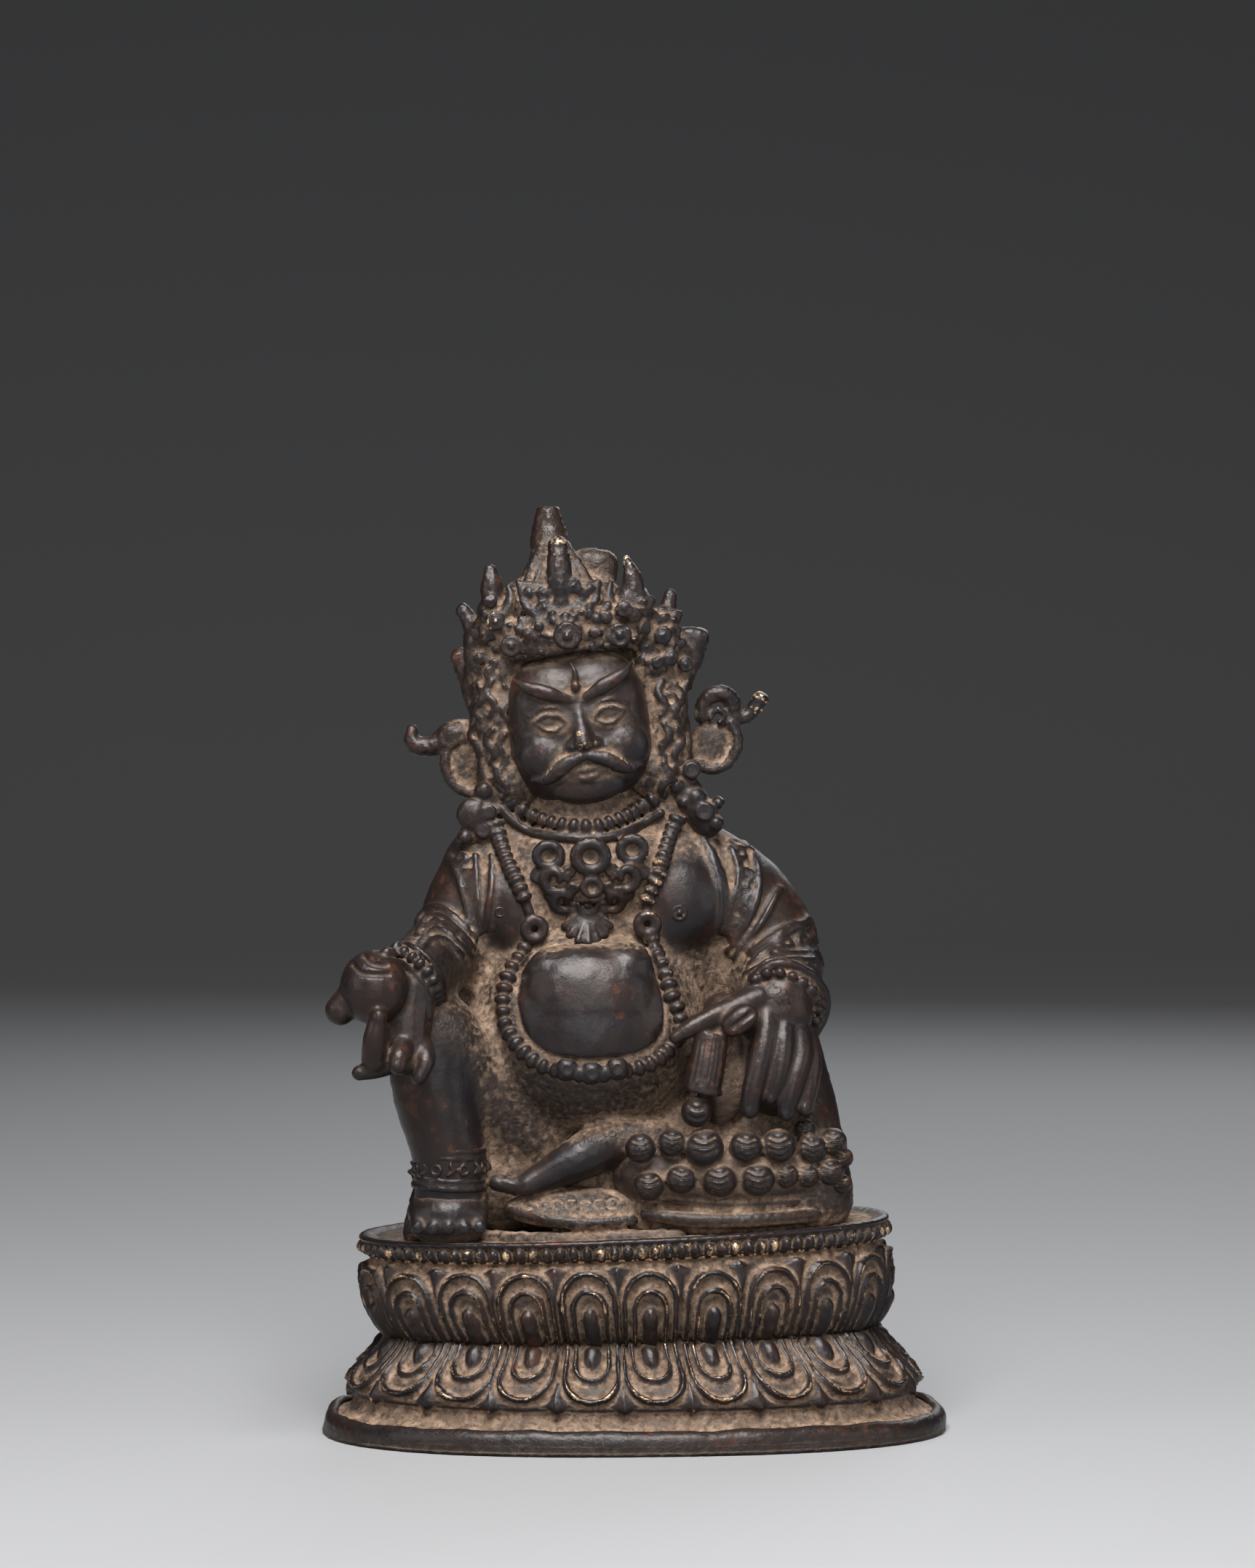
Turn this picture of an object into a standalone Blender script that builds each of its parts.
"""A small cast bronze Jambhala, the Himalayan god of wealth, seated on a lotus throne.

The figure, its throne and the foot flange are one lost-wax casting. A dished copper plate
closes the underside, and its upturned edge is folded over the flange.
Metres, +Z up. The front faces -Y, and +X is to the right of someone who faces the statue.
The origin is on the ground, at the middle of the base plate.
"""

import math

import bmesh
import bpy
import numpy as np
from mathutils import Euler, Matrix, Vector

MM = 0.001

# Base plate: a copper dish with a rolled rim
PLATE_LENGTH = 105.5 * MM
PLATE_DEPTH = 68 * MM
SHEET = 0.8 * MM
RIM_HEIGHT = 4.5 * MM
RIM_WALL = 1.2 * MM
LIP_REACH = 1.1 * MM
LIP_THICKNESS = 0.9 * MM
CLEARANCE = 0.3 * MM

# Lotus throne, from the flange upwards: the height of each course and how far it steps in or out
FOOT_RISE = 3.3 * MM
LOWER_PETAL_HEIGHT = 10.4 * MM
UPPER_PETAL_HEIGHT = 13.6 * MM
RIM_BAND = 3.4 * MM
BEAD_BAND = 2.2 * MM
RIM_SHOULDER = 1.6 * MM
FLANGE_SHOW = 2.2 * MM
WAIST_DRAW = 7.8 * MM
UPPER_BULGE = 3.4 * MM
BEAD_OVERHANG = 1.2 * MM
PETALS = 22
PETAL_SHIFT = -0.3
PETAL_RELIEF = 1.7 * MM
BEAD_RELIEF = 0.35 * MM
SEAT_TILT = 0.034
THRONE_LEAN = 0.06

# What follows from them
FLANGE_TOP = RIM_HEIGHT - LIP_THICKNESS - CLEARANCE
FOOT_HEIGHT = FLANGE_TOP + FOOT_RISE
WAIST_HEIGHT = FOOT_HEIGHT + LOWER_PETAL_HEIGHT
UNDER_RIM_HEIGHT = WAIST_HEIGHT + UPPER_PETAL_HEIGHT
SEAT_HEIGHT = UNDER_RIM_HEIGHT + RIM_BAND
UNDER_LIP_INSET = RIM_WALL + LIP_REACH + CLEARANCE
LOWER_INSET = UNDER_LIP_INSET + FLANGE_SHOW
WAIST_INSET = LOWER_INSET + WAIST_DRAW
UPPER_INSET = WAIST_INSET - UPPER_BULGE
BEAD_INSET = UPPER_INSET - BEAD_OVERHANG

# Figure: every point of it is given in parts, of which its height has 121
FIGURE_HEIGHT = 121 * MM
PARTS_HIGH = 121
PART = FIGURE_HEIGHT / PARTS_HIGH

# Fineness of the faceted solid
PLATE_SQUARENESS = 2.4
THRONE_SQUARENESS = 2.2
PLATE_SIDES = 60
SIDES_PER_PETAL = 4
PETAL_STEPS = (0.12, 0.42, 0.68, 0.9, 0.99)
PETAL_HALF_WIDTH = 0.47
VOXEL = 0.75 * MM
FIGURE_TRIANGLES = 5400

BRONZE = (0.075, 0.055, 0.045, 1)
COPPER = (0.05, 0.04, 0.035, 1)


def clear_scene():
    for obj in list(bpy.data.objects):
        bpy.data.objects.remove(obj)


def metal(name, colour, roughness):
    material = bpy.data.materials.new(name)
    material.use_nodes = True
    shader = material.node_tree.nodes["Principled BSDF"]
    shader.inputs["Base Color"].default_value = colour
    shader.inputs["Metallic"].default_value = 0.8
    shader.inputs["Roughness"].default_value = roughness
    return material


def new_object(name, mesh, material=None):
    obj = bpy.data.objects.new(name, mesh)
    bpy.context.scene.collection.objects.link(obj)
    if material:
        obj.data.materials.append(material)
    return obj


# Ovals


def oval_point(turn, half_length, half_depth, squareness):
    """A point of the oval at this turn, which starts at the front and runs to the viewer's right."""
    c, s = math.cos(turn), math.sin(turn)
    power = 2 / squareness
    x = half_length * math.copysign(abs(s) ** power, s)
    y = -half_depth * math.copysign(abs(c) ** power, c)
    return x, y


def even_turns(count, inset, squareness, shift=0, fine=2880):
    """Turns that space `count` points evenly along the oval that stands `inset` in from the plate."""
    half_length = PLATE_LENGTH / 2 - inset
    half_depth = PLATE_DEPTH / 2 - inset
    turns = np.linspace(0, 2 * math.pi, fine + 1)
    points = np.array([oval_point(t, half_length, half_depth, squareness) for t in turns])
    run = np.concatenate([[0], np.cumsum(np.linalg.norm(np.diff(points, axis=0), axis=1))])
    places = (np.arange(count) + shift) % count
    return np.interp(places / count * run[-1], run, turns)


def lathe_oval(turns, rings, centre_low, centre_high):
    """A closed solid from rings of points, one ring for each level, with a fan at each end."""
    mesh = bmesh.new()
    loops = [[mesh.verts.new(point) for point in ring] for ring in rings]
    count = len(turns)
    for lower, upper in zip(loops, loops[1:]):
        for i in range(count):
            j = (i + 1) % count
            mesh.faces.new((lower[i], lower[j], upper[j], upper[i]))
    low = mesh.verts.new(centre_low)
    high = mesh.verts.new(centre_high)
    for i in range(count):
        j = (i + 1) % count
        mesh.faces.new((low, loops[0][j], loops[0][i]))
        mesh.faces.new((high, loops[-1][i], loops[-1][j]))
    bmesh.ops.recalc_face_normals(mesh, faces=mesh.faces)
    data = bpy.data.meshes.new("oval")
    mesh.to_mesh(data)
    mesh.free()
    return data


# Base plate


def base_plate(material):
    """The dish: a flat sheet, a rolled outer edge, and a lip folded in over the flange."""
    bulge = RIM_WALL * 0.45
    lip_in = RIM_WALL + LIP_REACH
    section = [
        (RIM_WALL, 0),
        (bulge * 0.9, 0.15 * RIM_HEIGHT),
        (0, 0.42 * RIM_HEIGHT),
        (bulge * 0.35, 0.72 * RIM_HEIGHT),
        (RIM_WALL * 0.9, RIM_HEIGHT),
        (lip_in, RIM_HEIGHT - 0.15 * LIP_THICKNESS),
        (lip_in, RIM_HEIGHT - LIP_THICKNESS),
        (RIM_WALL, RIM_HEIGHT - LIP_THICKNESS),
        (RIM_WALL, SHEET),
        (2.5 * lip_in, SHEET),
    ]
    turns = even_turns(PLATE_SIDES, 0, PLATE_SQUARENESS)
    rings = []
    for inset, height in section:
        half_length, half_depth = PLATE_LENGTH / 2 - inset, PLATE_DEPTH / 2 - inset
        ring = [oval_point(t, half_length, half_depth, PLATE_SQUARENESS) for t in turns]
        rings.append([(x, y, height) for x, y in ring])
    mesh = lathe_oval(turns, rings, (0, 0, 0), (0, 0, SHEET))
    mesh.materials.append(material)
    return new_object("base_plate", mesh)


# Lotus throne


def petal_height(across, along):
    """Relief of one petal, 0 to 1. across runs -0.5 to 0.5, along from 0 at the waist to 1 at its tip."""
    side = abs(across) / PETAL_HALF_WIDTH
    tip = max(0.0, (along - 0.45) / 0.55)
    reach = math.hypot(side, tip)
    return math.sqrt(max(0.0, 1 - min(reach, 1) ** 2))


def throne_levels():
    """(inset, height, relief, place along the petal) of each ring, from the underside to the seat."""
    edge = RIM_WALL + CLEARANCE
    levels = [
        (edge, SHEET + CLEARANCE, None, 0),
        (edge, FLANGE_TOP, None, 0),
        (UNDER_LIP_INSET + CLEARANCE, FLANGE_TOP, None, 0),
        (LOWER_INSET + 0.25 * FOOT_RISE, FOOT_HEIGHT - 0.17 * FOOT_RISE, None, 0),
    ]
    for along in reversed(PETAL_STEPS):
        inset = WAIST_INSET - WAIST_DRAW * math.sin(along * math.pi / 2) ** 1.5
        levels.append((inset, WAIST_HEIGHT - LOWER_PETAL_HEIGHT * along, "petal", along))
    levels.append((WAIST_INSET, WAIST_HEIGHT, None, 0))
    for along in PETAL_STEPS:
        inset = WAIST_INSET - UPPER_BULGE * math.sin(along * math.pi / 2)
        levels.append((inset, WAIST_HEIGHT + UPPER_PETAL_HEIGHT * along, "petal", along))
    bead_top = SEAT_HEIGHT - (RIM_BAND - BEAD_BAND) / 2
    levels += [
        (BEAD_INSET, bead_top - BEAD_BAND, "bead", 0),
        (BEAD_INSET, bead_top, "bead", 0),
        (BEAD_INSET + RIM_SHOULDER, SEAT_HEIGHT, None, 0),
        (BEAD_INSET + 6 * RIM_SHOULDER, SEAT_HEIGHT, None, 0),
    ]
    return levels


def lotus_throne(material):
    shift = PETAL_SHIFT * SIDES_PER_PETAL
    turns = even_turns(PETALS * SIDES_PER_PETAL, UPPER_INSET, THRONE_SQUARENESS, shift)
    rings = []
    for inset, height, relief, along in throne_levels():
        squareness = PLATE_SQUARENESS if height <= FLANGE_TOP else THRONE_SQUARENESS
        ring = []
        for i, turn in enumerate(turns):
            proud = 0
            if relief == "petal":
                across = (i % SIDES_PER_PETAL) / SIDES_PER_PETAL - 0.5
                proud = PETAL_RELIEF * petal_height(across, along)
            if relief == "bead":
                proud = BEAD_RELIEF * (i % 2)
            half_length = PLATE_LENGTH / 2 - inset + proud
            half_depth = PLATE_DEPTH / 2 - inset + proud
            x, y = oval_point(turn, half_length, half_depth, squareness)
            above = max(0.0, height - FOOT_HEIGHT)
            lift = SEAT_TILT * x * above / (SEAT_HEIGHT - FOOT_HEIGHT)
            ring.append((x - THRONE_LEAN * above, y, height + lift))
        rings.append(ring)
    mesh = lathe_oval(turns, rings, (0, 0, SHEET + CLEARANCE), (0, 0, SEAT_HEIGHT))
    mesh.materials.append(material)
    return new_object("statue", mesh)


# Figure: rounded lumps, limbs and rolls, set into each other as wax is


class Wax:
    """Collects closed shapes in parts, measured from the middle of the seat."""

    def __init__(self):
        self.mesh = bmesh.new()
        self.frame = Matrix.Identity(4)

    def lump(self, centre, radii, turn=(0, 0, 0), sides=20):
        """An ellipsoid. turn is in degrees about X, Y and Z."""
        made = bmesh.ops.create_uvsphere(self.mesh, u_segments=sides, v_segments=sides // 2, radius=1)
        if not hasattr(radii, "__len__"):
            radii = (radii,) * 3
        place = Matrix.Translation(centre)
        place = place @ Euler([math.radians(a) for a in turn]).to_matrix().to_4x4()
        place = self.frame @ place @ Matrix.Diagonal((*radii, 1))
        bmesh.ops.transform(self.mesh, matrix=place, verts=made["verts"])

    def block(self, centre, radii, turn=(0, 0, 0), roundness=0.5):
        """A cushion-like rounded block: a ball pushed out towards its box."""
        made = bmesh.ops.create_uvsphere(self.mesh, u_segments=32, v_segments=16, radius=1)
        for vert in made["verts"]:
            for axis in range(3):
                value = vert.co[axis]
                vert.co[axis] = math.copysign(abs(value) ** (1 - roundness / 2), value)
        place = Matrix.Translation(centre)
        place = place @ Euler([math.radians(a) for a in turn]).to_matrix().to_4x4()
        place = self.frame @ place @ Matrix.Diagonal((*radii, 1))
        bmesh.ops.transform(self.mesh, matrix=place, verts=made["verts"])

    def limb(self, points, radii, sides=14, flat=1.0, closed=False):
        """A round tube through the points, with a radius at each; flat narrows it front to back."""
        path = [Vector(p) for p in points]
        count = len(path)
        rings = []
        for i, point in enumerate(path):
            before = path[i - 1] if i or closed else path[0]
            after = path[(i + 1) % count] if i < count - 1 or closed else path[-1]
            along = (after - before).normalized()
            side = along.cross(Vector((0, 1, 0)))
            if side.length < 0.1:
                side = along.cross(Vector((0, 0, 1)))
            side.normalize()
            front = side.cross(along).normalized()
            radius = radii[i] if hasattr(radii, "__len__") else radii
            steps = [(point, radius)]
            if not closed and i == 0:
                steps = [(point - along * radius * math.sin(a), radius * math.cos(a)) for a in (1.3, 0.7, 0)]
            if not closed and i == count - 1:
                steps = [(point + along * radius * math.sin(a), radius * math.cos(a)) for a in (0, 0.7, 1.3)]
            for middle, size in steps:
                ring = []
                for k in range(sides):
                    angle = 2 * math.pi * k / sides
                    offset = side * math.cos(angle) * size + front * math.sin(angle) * size * flat
                    ring.append(self.mesh.verts.new(self.frame @ (middle + offset)))
                rings.append(ring)
        pairs = list(zip(rings, rings[1:]))
        if closed:
            pairs.append((rings[-1], rings[0]))
        faces = []
        for lower, upper in pairs:
            for k in range(sides):
                m = (k + 1) % sides
                faces.append(self.mesh.faces.new((lower[k], lower[m], upper[m], upper[k])))
        if not closed:
            faces.append(self.mesh.faces.new(rings[0]))
            faces.append(self.mesh.faces.new(rings[-1]))
        bmesh.ops.recalc_face_normals(self.mesh, faces=faces)

    def hoop(self, centre, radius, thickness, turn=(0, 0, 0), squash=(1, 1), count=20):
        """A ring about the local Z axis."""
        spin = Euler([math.radians(a) for a in turn]).to_matrix()
        points = []
        for i in range(count):
            angle = 2 * math.pi * i / count
            flat = Vector((radius * squash[0] * math.cos(angle), radius * squash[1] * math.sin(angle), 0))
            points.append(Vector(centre) + spin @ flat)
        self.limb(points, thickness, sides=10, closed=True)

    def beads(self, points, size, spacing):
        """Round beads along a smooth run through the points."""
        for place in spaced(points, spacing):
            self.lump(place, size, sides=10)


def smooth_run(points, steps=12):
    """A Catmull-Rom curve through the points."""
    path = [Vector(p) for p in points]
    path = [2 * path[0] - path[1], *path, 2 * path[-1] - path[-2]]
    run = []
    for a, b, c, d in zip(path, path[1:], path[2:], path[3:]):
        for k in range(steps):
            t = k / steps
            bend = 2 * a - 5 * b + 4 * c - d
            swing = 3 * b - a - 3 * c + d
            run.append(0.5 * (2 * b + (c - a) * t + bend * t**2 + swing * t**3))
    run.append(path[-2])
    return run


def spaced(points, spacing):
    """Places at an even spacing along the smooth run."""
    run = smooth_run(points)
    found, left = [run[0]], spacing
    for a, b in zip(run, run[1:]):
        step = (b - a).length
        while step >= left:
            a = a + (b - a) * (left / step)
            step = (b - a).length
            found.append(a)
            left = spacing
        left -= step
    return found


def torso(wax):
    wax.lump((-3, 4, 9), (31, 17, 13))
    wax.lump((-8.5, -3, 33), (20.5, 18, 18.5))
    wax.block((-8.4, -9.5, 37.5), (12.4, 11, 10), roundness=0.4)
    wax.lump((-7.5, 3, 45), (26, 13.5, 21))
    wax.lump((-7.5, 0, 60), (19, 12.6, 9.5))
    wax.lump((-19.5, -6, 54), (8.5, 8.5, 9), (0, 12, 0))
    wax.lump((6, -6, 54.5), (8.5, 8.5, 9.5), (0, -14, 0))
    wax.limb([(-8, 1, 62), (-9, 0, 74)], [12, 9])
    wax.limb([(-4, 6, 8), (-6, 7, 30), (-7, 5, 50)], [23, 22, 17], sides=20, flat=0.62)
    wax.limb([(-22, -2, 30), (-23, -3, 8)], [8.5, 9])
    wax.limb([(23, 0, 40), (25, 0, 30), (26, -2, 18)], [7.5, 8, 9])


def right_arm(wax):
    """The arm on the viewer's left, which reaches forward with the citron."""
    wax.limb([(-18, 1, 61), (-25, 1, 56), (-29.2, 0, 48)], [9, 9, 8.2])
    wax.limb([(-30, 1, 47), (-34, -10, 45.5), (-38, -21, 43.5)], [7.6, 6.4, 5.6])
    for drop in (0, 2.1, 4.0):
        wax.limb([(-37, -3, 51 - drop), (-31.5, -9, 51.5 - drop), (-24.5, -9.5, 46 - drop)], 0.9, sides=8)
    wax.hoop((-37.3, -20, 44.2), 5.7, 1.1, (82, 0, -14))
    wax.beads([(-42.5, -21, 46), (-39.5, -21, 49.3), (-35, -21, 49), (-32.3, -21, 44.5)], 1.2, 2.5)
    wax.limb([(-38, -22, 43), (-38.8, -25, 37), (-39.5, -26, 30.5)], [5.4, 5.8, 5.2], flat=0.9)
    wax.lump((-44.3, -27.4, 41), (5.8, 5.8, 6.9), (0, 12, 0))
    wax.lump((-48, -26.5, 37.2), (3.4, 3.4, 4.2), (0, 35, 0))
    wax.limb([(-43.6, -30.5, 37), (-43.8, -30, 32), (-43, -29, 29)], [2.0, 2.3, 2.4])
    wax.limb([(-41.5, -28, 29), (-45.8, -28.5, 26.8)], [2.5, 1.9])
    wax.limb([(-39.5, -28, 31), (-40, -30, 28.4)], [2.4, 2.0])
    wax.limb([(-37, -26, 31), (-36.3, -28, 27.8)], [2.4, 2.0])


def left_arm(wax):
    """The arm on the viewer's right, whose hand presses the mongoose on the knee."""
    wax.limb([(5, 2, 61), (12.5, 2, 57), (18.5, 1, 51), (21.5, -1, 43)], [9, 9, 9, 8.6])
    wax.limb([(22, -2, 42), (22.5, -9, 40.5), (21.5, -14, 38.5)], [8, 7.2, 6])
    for drop in (0, 2.6, 5.0):
        wax.limb([(11, -9, 43.5 - drop), (19, -10.5, 49 - drop), (28.5, -4, 47 - drop)], 0.9, sides=8)
    bracelet = [(15, -15.4, 42.5), (20, -15.8, 42.8), (25, -14, 40.5), (28.5, -11, 36.5), (28, -9, 33)]
    wax.beads(bracelet, 1.5, 2.9)
    wax.lump((20.8, -15.5, 35.5), (7.6, 5, 6.2), (0, -10, 0))
    wax.limb([(16.6, -17, 34), (16.6, -19.5, 26), (16.4, -19, 19.4)], [2.8, 2.1, 1.9])
    wax.limb([(20.4, -17.5, 33), (20.9, -19.5, 28), (20.6, -19, 23.5)], [2.6, 2.0, 1.7])
    wax.limb([(23.9, -17, 33), (24.7, -19, 26), (24.7, -18.5, 19.4)], [2.5, 1.9, 2.0])
    wax.limb([(27, -15, 33), (28.3, -17, 26), (28.3, -16.5, 20.4)], [2.4, 1.8, 1.7])
    wax.limb([(20, -15, 39), (13, -18, 37.3), (5.2, -19, 32)], [2.9, 2.3, 1.5])


def mongoose(wax):
    """It lies over the knee with its head down, and lets a jewel fall from its mouth."""
    wax.limb([(14, -14, 36), (11, -17.5, 31.5), (8.8, -19, 25.4)], [4.6, 4.2, 3.5])
    wax.lump((14.8, -18.6, 35.2), (3.0, 2.0, 2.3), (0, -30, 0))
    wax.lump((8.2, -19, 20.8), 2.9)
    wax.limb([(15, -11, 34), (18, -11, 22), (16, -11, 14)], [6, 7, 7])


def legs(wax):
    """The leg on the left stands bent; the other is folded flat, with its foot under the belly."""
    wax.limb([(-14, 0, 13), (-26, -6, 24), (-33.5, -12.5, 31.5)], [11, 10, 8])
    shin = [(-34, -13, 33), (-34.2, -14, 26), (-31.6, -14.5, 12), (-31.6, -13.6, 3)]
    wax.limb(shin, [7.6, 7.3, 6.1, 6.2])
    wax.lump((-31.6, -15.5, 4.2), (6.7, 5.4, 4.4))
    for height, radius, thickness in ((13.4, 6.1, 1.0), (8.2, 6.3, 1.0)):
        wax.hoop((-31.6, -14.4, height), radius, thickness, (0, 4, 0))
    for k in range(5):
        x = -36.6 + 2.5 * k
        y = -18.9 - 0.9 * math.sin((k + 0.5) / 5 * math.pi)
        wax.limb([(x + 0.3, y + 3, 4.4), (x, y, 2.4)], [1.6, 1.5], sides=10)
    wax.limb([(-36, -7, 12), (-38.4, -8, 0)], [2.8, 3.2])
    wax.limb([(8, 0, 12), (22, -3, 13), (26, -5, 12)], [13, 12, 9.8])
    wax.limb([(27, -7, 12), (28, -7, 6)], [8, 8.5])
    wax.limb([(4, -13, 15), (-8, -14.5, 12), (-19, -16, 7.2)], [5.4, 4.8, 2.5])
    wax.limb([(-21.5, -16, 7.6), (-24, -15.5, 7.8)], 1.7, sides=10)
    wax.lump((-11, -13, 4.2), (11.5, 6, 3.6), (18, 0, 0))


def jewels(wax):
    """The heap of jewels in front of the folded leg, on a rolled cushion edge."""
    wax.limb([(2, -12.5, 10), (16, -13, 10), (27, -9, 10)], [6.5, 6.8, 6.5])
    upper = [(-0.6, 14.5, 2.4), (4.5, 15, 2.3), (10, 14.2, 3.0), (16.6, 14.5, 2.7)]
    upper += [(22, 14.6, 2.8), (27.6, 13.4, 2.5), (31, 15, 2.5)]
    lower = [(0.4, 7.9, 2.6), (6.2, 9.2, 2.4), (12.2, 8.9, 2.7)]
    lower += [(18.4, 9, 2.7), (24, 9.6, 2.4), (29.8, 9.7, 2.6)]
    for x, z, radius in upper + lower:
        bend = max(0.0, (x - 14) / 20)
        wax.lump((x, -17.6 - 0.08 * (14 - z) + 9.5 * bend**2, z), radius, sides=12)
    wax.lump((26.5, -14.5, 17.8), (2.6, 2.2, 2.2), sides=12)
    cushion_edge = [(-0.6, -17.5, 4.2), (8, -19, 3.4), (18, -18.5, 3.2), (27, -15, 3.8), (32.5, -9, 4.2)]
    wax.limb(cushion_edge, 2.0, sides=10)
    wax.limb([(-19.5, -15.5, 4.4), (-11, -18, 3.4), (-3, -17.6, 3.6)], [1.2, 1.5, 1.8], sides=10)
    wax.limb([(0, -12, 3), (18, -13, 3), (28, -7, 3)], [5, 5.5, 5.5])


def ornaments(wax):
    """Choker, torque, breast pendant and the long string of beads round the belly."""
    choker = [(-20.5, -6, 70.5), (-16.5, -11, 67.4), (-9.2, -12.6, 66.2), (0, -11, 68), (6.5, -6, 72)]
    wax.beads(choker, 1.3, 2.1)
    torque = [(-21.5, -8.5, 67), (-16, -11.8, 63.8), (-7.3, -13.2, 62.8), (2, -11.8, 65.2), (8, -8.5, 70)]
    wax.limb(smooth_run(torque, 4), 1.2, sides=8)
    for x, z, radius in ((-15, 60.2, 3.0), (-8.3, 59.8, 3.2), (-1.8, 60.6, 3.0), (-8.1, 54.6, 2.5)):
        wax.lump((x, -12.6, z), (radius, 1.8, radius), sides=14)
    for x, z in ((-13.6, 56), (-2.6, 56.6), (-12.2, 52), (-3.9, 52.8)):
        wax.lump((x, -12.6, z), (2.4, 2.0, 2.0), sides=10)
    wax.lump((-8, -13.2, 48.8), (4.2, 2.2, 3.4), sides=12)
    left_string = [(-22.8, -8, 66), (-20.8, -11.6, 60), (-17.8, -14, 53)]
    right_string = [(6.8, -8.5, 67.5), (4.8, -11.6, 60.5), (1.8, -13.6, 54)]
    for string in (left_string, right_string):
        wax.beads(string, 1.6, 1.9)
    for x, z in ((-17.6, 49.6), (1.5, 50.8)):
        wax.lump((x, -14.4, z), (2.8, 2.0, 2.8), sides=12)
    loop = [(-18.7, -15.6, 46), (-21.8, -15.2, 41), (-22.6, -15.8, 35.5), (-20.6, -17.4, 30.2)]
    loop += [(-16, -19, 26.7), (-10, -19.8, 25.7), (-3.4, -19.2, 26.6), (2.2, -17.5, 29.4)]
    loop += [(5.2, -16, 33.5), (4.2, -15.6, 40), (2, -15, 47)]
    wax.beads(loop, 1.6, 2.1)
    shoulder_rings = [(-22.5, -4.5, 72.6), (-26, -4, 66.8), (-24.4, -6, 64.8)]
    shoulder_rings += [(7.4, -4.4, 74.5), (9.8, -5, 70.5), (12, -4.6, 66.8)]
    for place in shoulder_rings:
        wax.lump(place, (2.9, 2.8, 2.6), sides=12)


HEAD_CENTRE = (-9.7, 0, 84.6)
HEAD_LEAN = -8


def head(wax):
    """The head leans to the viewer's left; the face is a plain rounded square with heavy brows."""
    wax.frame = Matrix.Translation(HEAD_CENTRE) @ Matrix.Rotation(math.radians(HEAD_LEAN), 4, "Y")
    wax.lump((0, 1, 2), (13, 11.5, 14))
    wax.block((0, -3, -0.2), (12.2, 9.6, 12.4), roundness=0.55)
    wax.limb([(0, -11.2, 2.6), (0, -13.6, -2.6)], [1.4, 2.1])
    for side in (-1, 1):
        wax.lump((side * 6.2, -9.8, -4), (4.6, 3.2, 4.2))
        wax.lump((side * 5, -11, 2.4), (2.7, 1.7, 1.6))
        wax.limb([(side * 2.4, -11.6, 3.8), (side * 6, -11.4, 6.4), (side * 10, -9.4, 8.4)], [1.4, 1.6, 1.0])
        moustache = [(side * 0.9, -12.6, -5), (side * 4, -12.2, -6.3), (side * 8.6, -9.6, -6.8)]
        wax.limb(moustache, [1.2, 1.5, 0.9])
    wax.lump((0, -11.4, -9), (4.2, 2.6, 2.8))
    wax.lump((0, -12.2, -6.8), (2.4, 1.4, 0.9))
    wax.frame = Matrix.Identity(4)
    wax.limb([(-21, 3, 78), (-20, 3, 68)], [6, 7])
    wax.limb([(5, 3, 79), (6, 3, 70)], [6, 7])
    wax.lump((-23.2, 3, 83), (4.6, 6, 12.5), (0, -6, 0))
    wax.lump((5.6, 3, 83.5), (5.8, 6, 13), (0, -6, 0))


def ribbons(wax):
    """Scarf ends beside the ears: a hanging flap and a curled tail on each side."""
    wax.lump((-26.8, 3, 79), (4, 3, 7.2), (0, -10, 0))
    left_tail = [(-26, 3, 83.5), (-30, 3, 82), (-32.5, 2.6, 80.2), (-35, 2.4, 80.2), (-36.8, 2.4, 82)]
    wax.limb(left_tail, [3.2, 2.8, 2.0, 1.8, 1.4], sides=10)
    wax.lump((12.4, 3, 80.4), (5.2, 3, 6.2), (0, 8, 0))
    wax.limb([(9, 3, 88), (14.6, 3, 87)], [3.0, 3.4], sides=12)
    right_tail = [(15, 2.6, 85.4), (18.2, 2.6, 85), (20, 2.6, 86.4), (21.2, 2.6, 88)]
    wax.limb(right_tail, [2.0, 1.7, 1.8, 1.7], sides=10)


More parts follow.
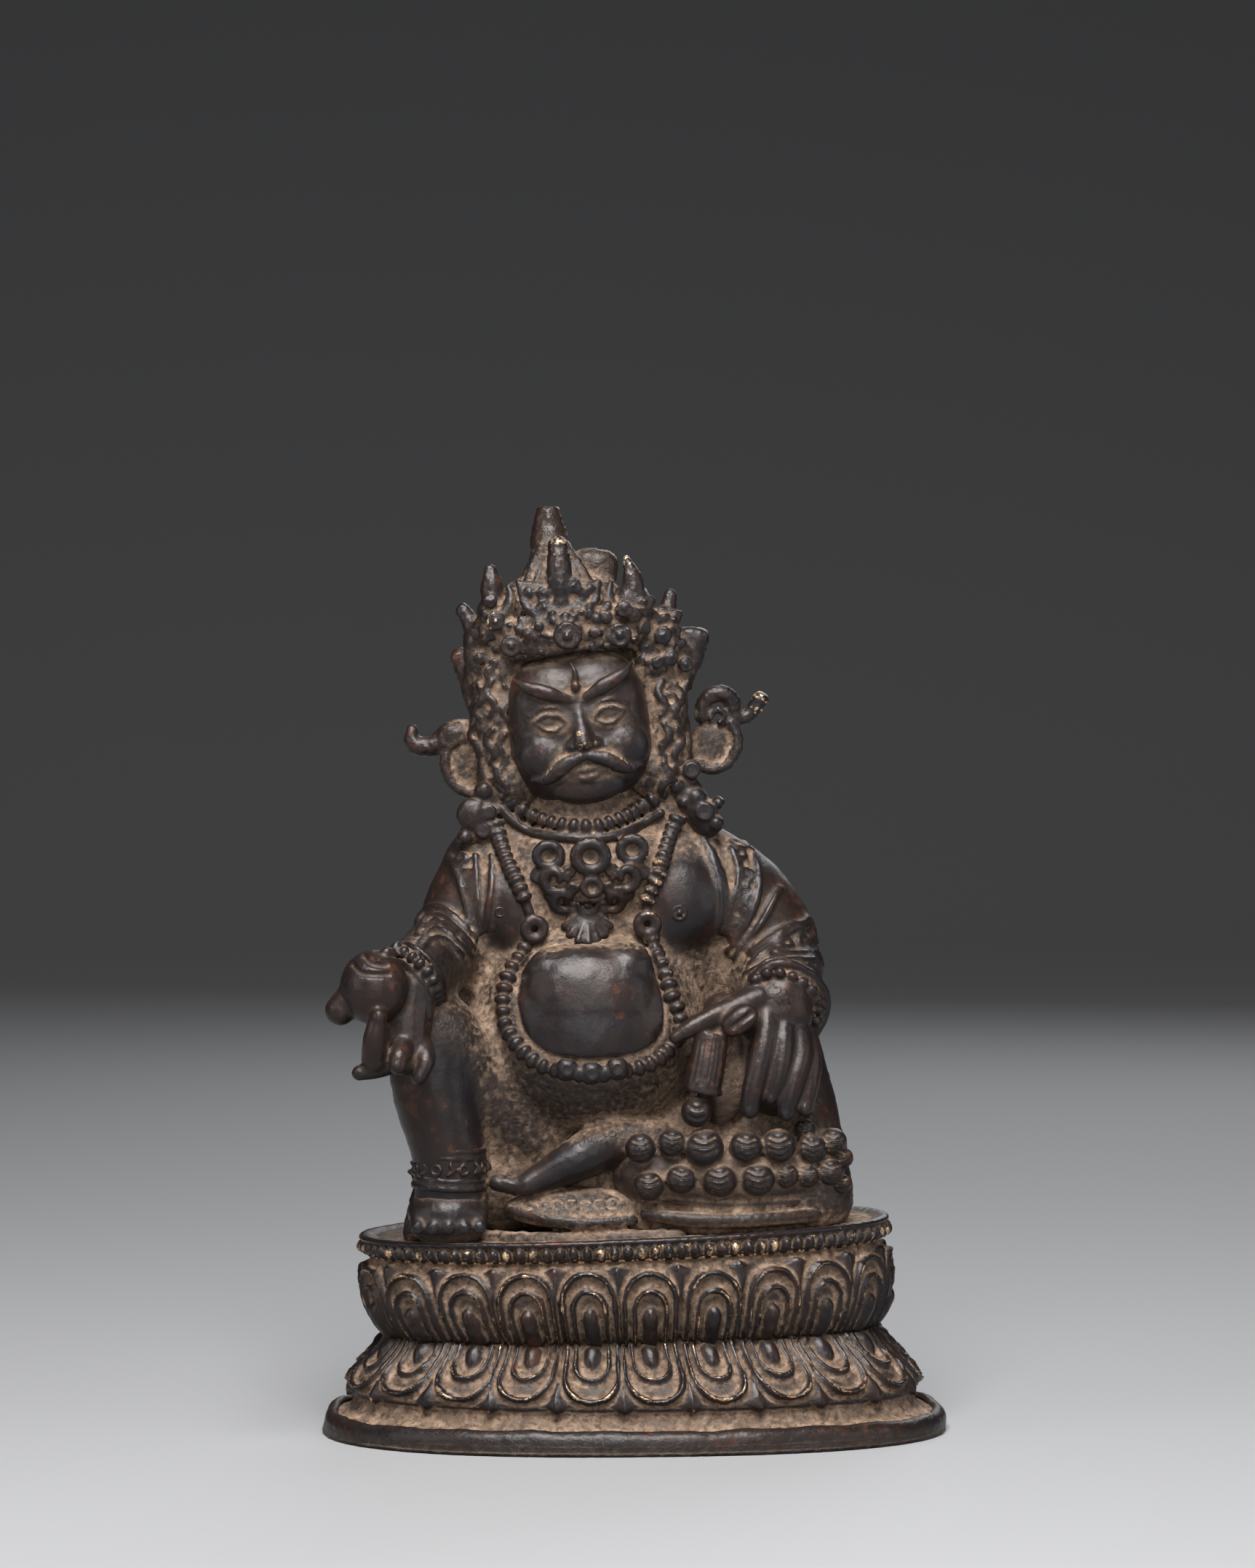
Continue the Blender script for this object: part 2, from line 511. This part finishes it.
def crown(wax):
    """A crown of seven horned leaves on a band, with the capped chignon behind it."""
    wax.frame = Matrix.Translation(HEAD_CENTRE) @ Matrix.Rotation(math.radians(HEAD_LEAN), 4, "Y")
    wax.hoop((0, 1, 11.0), 12.6, 2.2, (-20, 0, 0), squash=(1, 0.98), count=28)
    wax.hoop((0, 1, 13.6), 12.0, 2.4, (-20, 0, 0), squash=(1, 0.96), count=28)
    wax.frame = Matrix.Identity(4)
    wax.lump((-12, 2.5, 99), (12.8, 11.5, 12))
    leaves = [
        ((-12.2, -11, 99.5), (-13.9, -9.5, 113.4), 6.2),
        ((-20.6, -7.5, 98), (-24.4, -6, 110), 3.8),
        ((-3.4, -8, 99), (-1.6, -6.5, 111.4), 3.8),
        ((-24, -2, 93.5), (-28.4, -0.5, 103.2), 3.4),
        ((4.6, -3, 95.5), (5.8, -1.5, 105.8), 3.6),
        ((-25, 2, 88.5), (-29.8, 3, 96), 3.0),
        ((7.6, 1, 91), (11.8, 2, 99.8), 3.6),
    ]
    for foot, tip, width in leaves:
        foot, tip = Vector(foot), Vector(tip)
        blade = [foot, foot.lerp(tip, 0.3), foot.lerp(tip, 0.62)]
        wax.limb(blade, [width, width * 0.95, width * 0.5], sides=12, flat=0.8)
        wax.limb([foot.lerp(tip, 0.55), tip], [1.9, 1.2], sides=10)
        wax.lump(foot + Vector((0, -2.2, 0)), 2.0, sides=10)
    wax.limb([(-11, 4, 98), (-12.4, 5, 106), (-13.8, 5, 113.5)], [11.5, 8.4, 3.9], sides=18)
    wax.lump((-6.4, 4.5, 107), (4.8, 4.4, 4.8))
    wax.lump((-19, 4.5, 104.8), (4.2, 4.2, 4.4))
    wax.limb([(-13.9, 5, 113), (-13.9, 5, 119.1)], [3.4, 2.2], sides=14)


def back(wax):
    """Behind: the shawl's edge over the shoulders and the hair on the nape."""
    wax.limb([(-24, 7, 60), (-15, 14, 55), (-5, 17, 52), (6, 14, 55), (14, 7, 60)], [4, 3.4, 3, 3.4, 4])
    wax.limb([(-11, 6, 92), (-10, 7.5, 80), (-8, 7, 66)], [11, 10.5, 12], sides=18, flat=0.72)
    wax.limb([(-22, 12, 4), (-2, 16, 5), (20, 12, 4)], [4, 4.5, 4])


def figure():
    """The figure as one skin: the lumps are fused, softened as wax is, and thinned to facets."""
    wax = Wax()
    for build in (torso, back, legs, right_arm, left_arm, mongoose, jewels, ornaments, head, ribbons, crown):
        build(wax)
    seat = Matrix.Translation((0, 0, SEAT_HEIGHT)) @ Matrix.Scale(PART, 4)
    bmesh.ops.transform(wax.mesh, matrix=seat, verts=wax.mesh.verts)
    data = bpy.data.meshes.new("figure_wax")
    wax.mesh.to_mesh(data)
    wax.mesh.free()
    obj = new_object("figure_wax", data)
    fuse = obj.modifiers.new("fuse", "REMESH")
    fuse.mode = "VOXEL"
    fuse.voxel_size = VOXEL
    soften = obj.modifiers.new("soften", "SMOOTH")
    soften.factor = 0.5
    soften.iterations = 3
    bpy.context.view_layer.update()
    shape = obj.evaluated_get(bpy.context.evaluated_depsgraph_get())
    triangles = sum(len(face.vertices) - 2 for face in shape.data.polygons)
    thin = obj.modifiers.new("thin", "DECIMATE")
    thin.ratio = min(1.0, FIGURE_TRIANGLES / triangles)
    obj.hide_render = True
    obj.display_type = "WIRE"
    return obj


def main():
    clear_scene()
    bronze = metal("bronze", BRONZE, 0.45)
    copper = metal("copper", COPPER, 0.5)
    base_plate(copper)
    statue = lotus_throne(bronze)
    join = statue.modifiers.new("join_figure", "BOOLEAN")
    join.operation = "UNION"
    join.solver = "EXACT"
    join.object = figure()


main()
